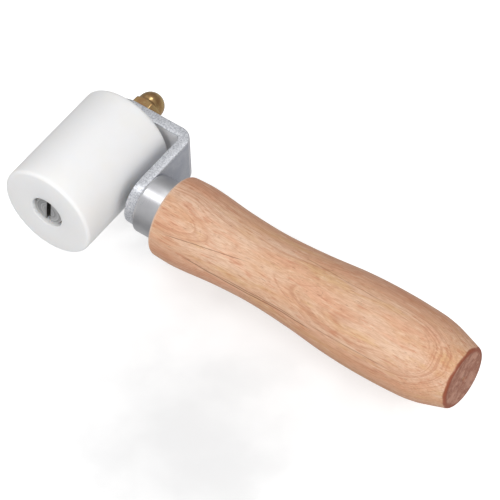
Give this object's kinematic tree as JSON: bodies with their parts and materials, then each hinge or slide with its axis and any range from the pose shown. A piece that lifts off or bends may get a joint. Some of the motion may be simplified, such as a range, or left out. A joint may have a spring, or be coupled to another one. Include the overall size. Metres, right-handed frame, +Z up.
{
  "type": "seam roller",
  "caption": "Hand seam roller: a free-turning plastic roller on a single-arm bent strip bracket, with a ferrule and a turned wooden handle.",
  "frame": {"origin": "middle of the roller, on the axis it turns about", "axes": "+Y along the roller's axis from the screw's slotted head towards the bracket's arm and the acorn nut, +X along the handle towards its butt, +Z up"},
  "size_m": [0.1917, 0.0702, 0.04],
  "materials": {
    "hardwood": "fine-sanded, thin clear coat",
    "polished_steel": "polished",
    "zinc_strip": "zinc plated, satin",
    "screw_steel": "turned",
    "washer_steel": "satin",
    "sleeve_steel": "turned",
    "white_ptfe": "smooth matte",
    "nut_brass": "satin"
  },
  "bodies": {
    "tool_frame": {"handle": "hardwood", "ferrule": "polished_steel", "bracket": "zinc_strip", "handle_screw": "screw_steel", "axle_screw": "screw_steel", "head_washer": "washer_steel", "axle_sleeve": "sleeve_steel", "thrust_washer": "washer_steel", "acorn_nut": "nut_brass"},
    "roller_body": {"roller": "white_ptfe"}
  },
  "joints": [
    {"name": "roller_spin", "type": "hinge", "parent": "tool_frame", "child": "roller_body", "pos_m": [0, 0, 0], "axis": [0, 1, 0], "continuous": true}
  ]
}
